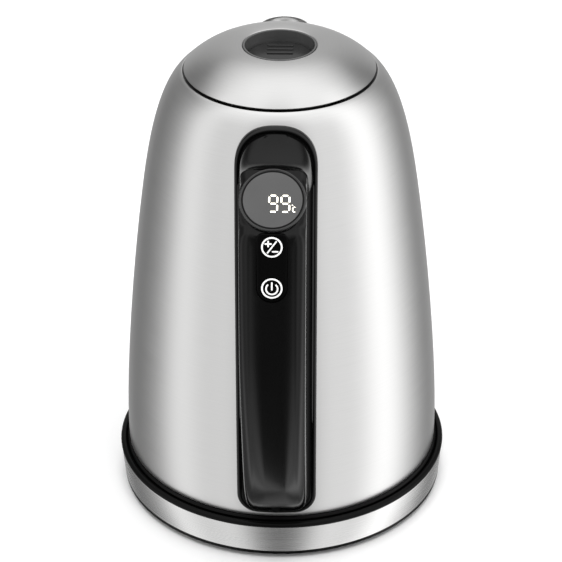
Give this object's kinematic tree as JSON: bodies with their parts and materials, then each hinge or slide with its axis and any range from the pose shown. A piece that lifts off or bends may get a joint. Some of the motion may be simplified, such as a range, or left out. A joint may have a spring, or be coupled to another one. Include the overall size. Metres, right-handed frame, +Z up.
{
  "type": "electric kettle",
  "caption": "Cordless electric kettle: domed steel jug with a hinged lid, a display handle and a round power base.",
  "frame": {"origin": "on the jug's vertical axis, in the plane the feet stand on", "axes": "+Z up, the handle points to -Y, the spout to +Y"},
  "size_m": [0.1586, 0.1978, 0.2283],
  "materials": {
    "brushed_body_steel": "satin brushed stainless steel",
    "band_steel": "fine circular brushing",
    "inner_steel": "plain stainless steel",
    "gloss_black": "polished black",
    "base_black": "satin black",
    "inner_plastic": "satin dark grey",
    "smoked_plastic": "smoked, polished",
    "smoked_lens": "smoked display window",
    "display_light": "lit, warm white",
    "rubber_feet": "matt",
    "silicone": "translucent grey silicone",
    "brass_contact": "plain",
    "cast_aluminium": "plain",
    "screw_steel": "zinc plated",
    "board": "circuit board"
  },
  "bodies": {
    "power_base": {"base_bottom_plate": "base_black", "base_top_cover": "base_black", "base_trim_band": "band_steel", "base_feet": "rubber_feet", "base_screws": "screw_steel", "base_connector": "inner_plastic", "connector_pin": "brass_contact", "contact_rings": "brass_contact", "cord_outlet": "base_black"},
    "socket_carrier": {"socket_ring": "inner_plastic"},
    "jug": {"body_shell": "brushed_body_steel", "spout_beak": "brushed_body_steel", "spout_filter_frame": "inner_plastic", "spout_filter_mesh": "inner_steel", "mouth_collar": "inner_plastic", "floor_plate": "inner_steel", "heat_spreader": "cast_aluminium", "heating_element": "inner_steel", "element_terminals": "brass_contact", "thermal_cutouts": "inner_plastic", "temperature_probe": "inner_steel", "jug_connector": "inner_plastic", "socket_contacts": "brass_contact", "bottom_cover": "base_black", "bottom_seal": "silicone", "bottom_screws": "screw_steel", "handle_plate": "gloss_black", "handle_inner_shell": "gloss_black", "handle_outer_cover": "gloss_black", "handle_screws": "screw_steel", "handle_cable": "inner_plastic", "display_bezel": "gloss_black", "display_lens": "smoked_lens", "display_board": "board", "display_digits": "display_light", "key_panel": "gloss_black", "control_board": "board", "key_switches": "inner_plastic", "hinge_pin": "inner_steel", "hinge_spring": "inner_steel"},
    "lid": {"lid_cover": "brushed_body_steel", "lid_inner_body": "inner_plastic", "lid_seal": "silicone", "lid_dish": "smoked_plastic", "button_spring": "inner_steel", "latch_spring": "inner_steel"},
    "release_button": {"lid_button": "smoked_plastic"},
    "latch": {"latch_bolt": "inner_steel"},
    "temperature_key": {"temperature_key": "gloss_black"},
    "power_key": {"power_key": "gloss_black"}
  },
  "joints": [
    {"name": "jug_lift", "type": "slide", "parent": "power_base", "child": "socket_carrier", "axis": [0, 0, 1], "range_m": [0, 0.08]},
    {"name": "jug_swivel", "type": "hinge", "parent": "socket_carrier", "child": "jug", "pos_m": [0, 0, 0], "axis": [0, 0, 1], "continuous": true},
    {"name": "lid_hinge", "type": "hinge", "parent": "jug", "child": "lid", "pos_m": [0, -0.0435, 0.2065], "axis": [1, 0, 0], "range_deg": [0, 68]},
    {"name": "lid_release", "type": "slide", "parent": "lid", "child": "release_button", "axis": [0, 0, -1], "range_m": [0, 0.003], "stiffness_N_per_m": 300, "springref_m": -0.0008, "deforming": ["button_spring"]},
    {"name": "latch_slide", "type": "slide", "parent": "lid", "child": "latch", "axis": [0, -1, 0], "range_m": [0, 0.003], "deforming": ["latch_spring"]},
    {"name": "temperature_key_press", "type": "slide", "parent": "jug", "child": "temperature_key", "axis": [0, 0.9816, -0.1908], "range_m": [0, 0.0006], "stiffness_N_per_m": 800, "springref_m": -0.0002},
    {"name": "power_key_press", "type": "slide", "parent": "jug", "child": "power_key", "axis": [0, 0.9816, -0.1908], "range_m": [0, 0.0006], "stiffness_N_per_m": 800, "springref_m": -0.0002}
  ],
  "couplings": [
    {"joint": "latch_slide", "follows": "lid_release", "ratio": 1}
  ]
}
